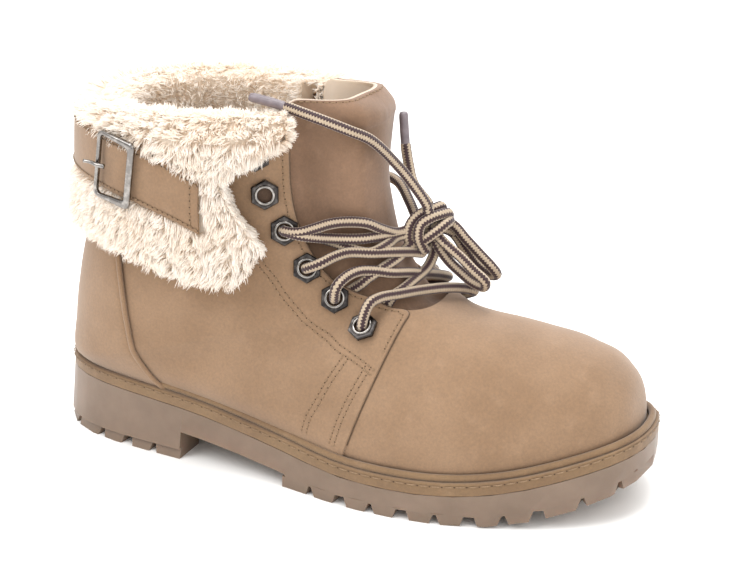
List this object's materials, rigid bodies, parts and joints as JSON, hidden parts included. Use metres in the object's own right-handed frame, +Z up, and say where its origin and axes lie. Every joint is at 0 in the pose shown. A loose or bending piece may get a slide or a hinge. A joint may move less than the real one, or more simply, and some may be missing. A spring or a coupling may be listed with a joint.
{
  "type": "sheepskin boot",
  "caption": "Right lace-up ankle boot of tan nubuck with folded fleece cuff, buckled cuff strap, hexagonal eyelets, tied two-colour lace and lugged rubber sole",
  "frame": {"origin": "on the floor, under the middle of the heel's middle cleat, on the boot's centre plane", "axes": "+X from heel to toe, +Y towards the inner side of the foot, +Z up"},
  "size_m": [0.2782, 0.1102, 0.17],
  "materials": {
    "sole_rubber": "moulded, slightly glossy",
    "welt_leather": "smooth",
    "nubuck": "nubuck, matt",
    "lining_fleece": "deep sheepskin fleece",
    "gunmetal": "dark plated, satin",
    "lace_cord": "round braid, two colours",
    "aglet_plastic": "smooth"
  },
  "bodies": {
    "root": {"outsole": "sole_rubber", "welt": "sole_rubber", "insole": "lining_fleece", "rand": "welt_leather", "upper": "nubuck", "heel_counter": "nubuck", "tongue": "nubuck", "cuff": "lining_fleece", "strap": "nubuck", "buckle_strap": "nubuck", "buckle_frame": "gunmetal", "buckle_prong": "gunmetal", "lace_bars": "lace_cord", "lace_knot": "lace_cord", "bow_loop_1": "lace_cord", "bow_loop_2": "lace_cord", "lace_end_1": "lace_cord", "lace_end_2": "lace_cord", "aglet_1": "aglet_plastic", "aglet_2": "aglet_plastic", "eyelet_outer_1": "gunmetal", "eyelet_outer_2": "gunmetal", "eyelet_outer_3": "gunmetal", "eyelet_outer_4": "gunmetal", "eyelet_outer_5": "gunmetal", "eyelet_outer_6": "gunmetal", "eyelet_inner_1": "gunmetal", "eyelet_inner_2": "gunmetal", "eyelet_inner_3": "gunmetal", "eyelet_inner_4": "gunmetal", "eyelet_inner_5": "gunmetal", "eyelet_inner_6": "gunmetal"}
  },
  "joints": []
}
